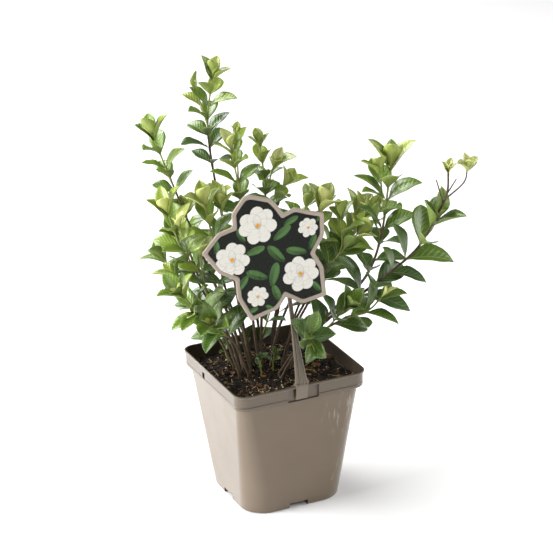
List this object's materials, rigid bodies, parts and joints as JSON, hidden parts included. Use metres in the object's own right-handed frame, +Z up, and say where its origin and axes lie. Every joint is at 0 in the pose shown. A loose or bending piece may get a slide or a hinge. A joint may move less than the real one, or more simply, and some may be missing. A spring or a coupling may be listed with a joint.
{
  "type": "potted gardenia",
  "caption": "Young evergreen gardenia shrub with opposite glossy leaves on many stems, in a square tapered nursery pot with a clip-on picture label.",
  "frame": {"origin": "centre of the pot's flat foot, on the surface that it stands on", "axes": "+Z up along the pot and the plant, -Y out through the pot wall that carries the label, +X to the right of that wall seen from the front"},
  "size_m": [0.362, 0.268, 0.5357],
  "materials": {
    "pot_plastic": "satin taupe",
    "label_plastic": "satin light taupe",
    "label_print": "printed sheet, glossy",
    "compost": "loose and moist",
    "foliage": "waxy green leaves on brown stems"
  },
  "bodies": {
    "root": {"label_frame": "label_plastic", "label_print": "label_print", "pot": "pot_plastic", "soil": "compost", "sprout_left": "foliage", "sprout_middle": "foliage", "sprout_right": "foliage", "stem_back_left": "foliage", "stem_back_low": "foliage", "stem_back_middle": "foliage", "stem_back_right": "foliage", "stem_centre": "foliage", "stem_far_right": "foliage", "stem_front": "foliage", "stem_left_back": "foliage", "stem_left_far_back": "foliage", "stem_left_lime": "foliage", "stem_left_low": "foliage", "stem_left_middle": "foliage", "stem_left_tall": "foliage", "stem_left_upper": "foliage", "stem_middle_tall": "foliage", "stem_right_back": "foliage", "stem_right_far_back": "foliage", "stem_right_low": "foliage", "stem_right_middle": "foliage", "stem_right_near": "foliage", "stem_right_tall": "foliage", "stem_tallest": "foliage"}
  },
  "joints": []
}
